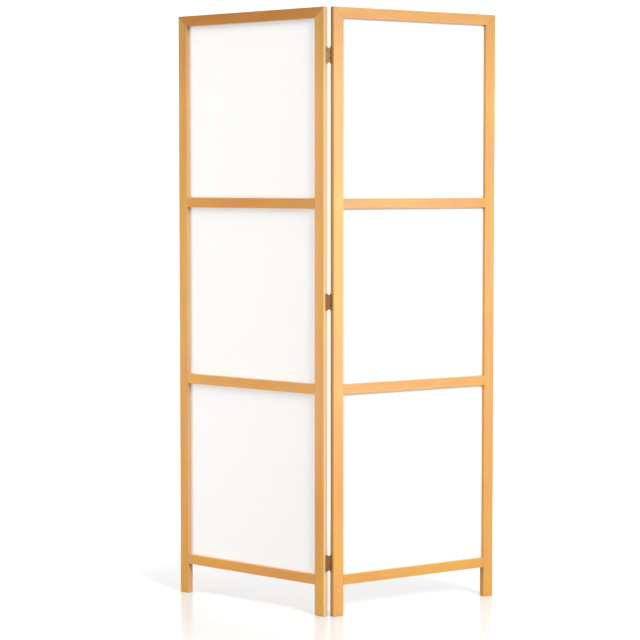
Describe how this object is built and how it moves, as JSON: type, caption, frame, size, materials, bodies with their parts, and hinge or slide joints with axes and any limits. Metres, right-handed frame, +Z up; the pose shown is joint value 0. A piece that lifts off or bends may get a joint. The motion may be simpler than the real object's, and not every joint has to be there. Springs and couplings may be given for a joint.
{
  "type": "wooden folding screen",
  "caption": "Free-standing wooden folding screen: framed panels with white translucent sheets, hinged along one edge so that they stand in a V or fold flat.",
  "frame": {"origin": "on the floor, under the middle of the box of the opened screen", "axes": "+Z up; +X to the right as seen from the front, where the hinge line stands nearest; +Y to the back, where the outer edges of the panels are"},
  "size_m": [0.9794, 0.378, 1.8],
  "materials": {
    "frame_wood": "honey-coloured satin varnish on pine",
    "bead": "honey-coloured satin varnish on pine",
    "spline": "bare beech",
    "infill": "white translucent non-woven fibre sheet",
    "hinge_leaf": "dark antique brass",
    "hinge_pin": "bronzed steel",
    "screw": "bronzed steel"
  },
  "bodies": {
    "left_panel": {"left_bottom_rail": "frame_wood", "left_hinge_screws": "screw", "left_hinge_stile": "frame_wood", "left_lower_bottom_bead": "bead", "left_lower_hinge_bead": "bead", "left_lower_middle_rail": "frame_wood", "left_lower_outer_bead": "bead", "left_lower_sheet": "infill", "left_lower_top_bead": "bead", "left_middle_bottom_bead": "bead", "left_middle_hinge_bead": "bead", "left_middle_outer_bead": "bead", "left_middle_sheet": "infill", "left_middle_top_bead": "bead", "left_mitre_splines": "spline", "left_outer_stile": "frame_wood", "left_top_rail": "frame_wood", "left_upper_bottom_bead": "bead", "left_upper_hinge_bead": "bead", "left_upper_middle_rail": "frame_wood", "left_upper_outer_bead": "bead", "left_upper_sheet": "infill", "left_upper_top_bead": "bead", "lower_hinge_left_leaf": "hinge_leaf", "lower_hinge_pin": "hinge_pin", "middle_hinge_left_leaf": "hinge_leaf", "middle_hinge_pin": "hinge_pin", "upper_hinge_left_leaf": "hinge_leaf", "upper_hinge_pin": "hinge_pin"},
    "right_panel": {"lower_hinge_right_leaf": "hinge_leaf", "middle_hinge_right_leaf": "hinge_leaf", "right_bottom_rail": "frame_wood", "right_hinge_screws": "screw", "right_hinge_stile": "frame_wood", "right_lower_bottom_bead": "bead", "right_lower_hinge_bead": "bead", "right_lower_middle_rail": "frame_wood", "right_lower_outer_bead": "bead", "right_lower_sheet": "infill", "right_lower_top_bead": "bead", "right_middle_bottom_bead": "bead", "right_middle_hinge_bead": "bead", "right_middle_outer_bead": "bead", "right_middle_sheet": "infill", "right_middle_top_bead": "bead", "right_mitre_splines": "spline", "right_outer_stile": "frame_wood", "right_top_rail": "frame_wood", "right_upper_bottom_bead": "bead", "right_upper_hinge_bead": "bead", "right_upper_middle_rail": "frame_wood", "right_upper_outer_bead": "bead", "right_upper_sheet": "infill", "right_upper_top_bead": "bead", "upper_hinge_right_leaf": "hinge_leaf"}
  },
  "joints": [
    {"name": "fold", "type": "hinge", "parent": "left_panel", "child": "right_panel", "pos_m": [0, -0.17503, 0.9], "axis": [0, 0, 1], "range_deg": [-75, 105]}
  ]
}
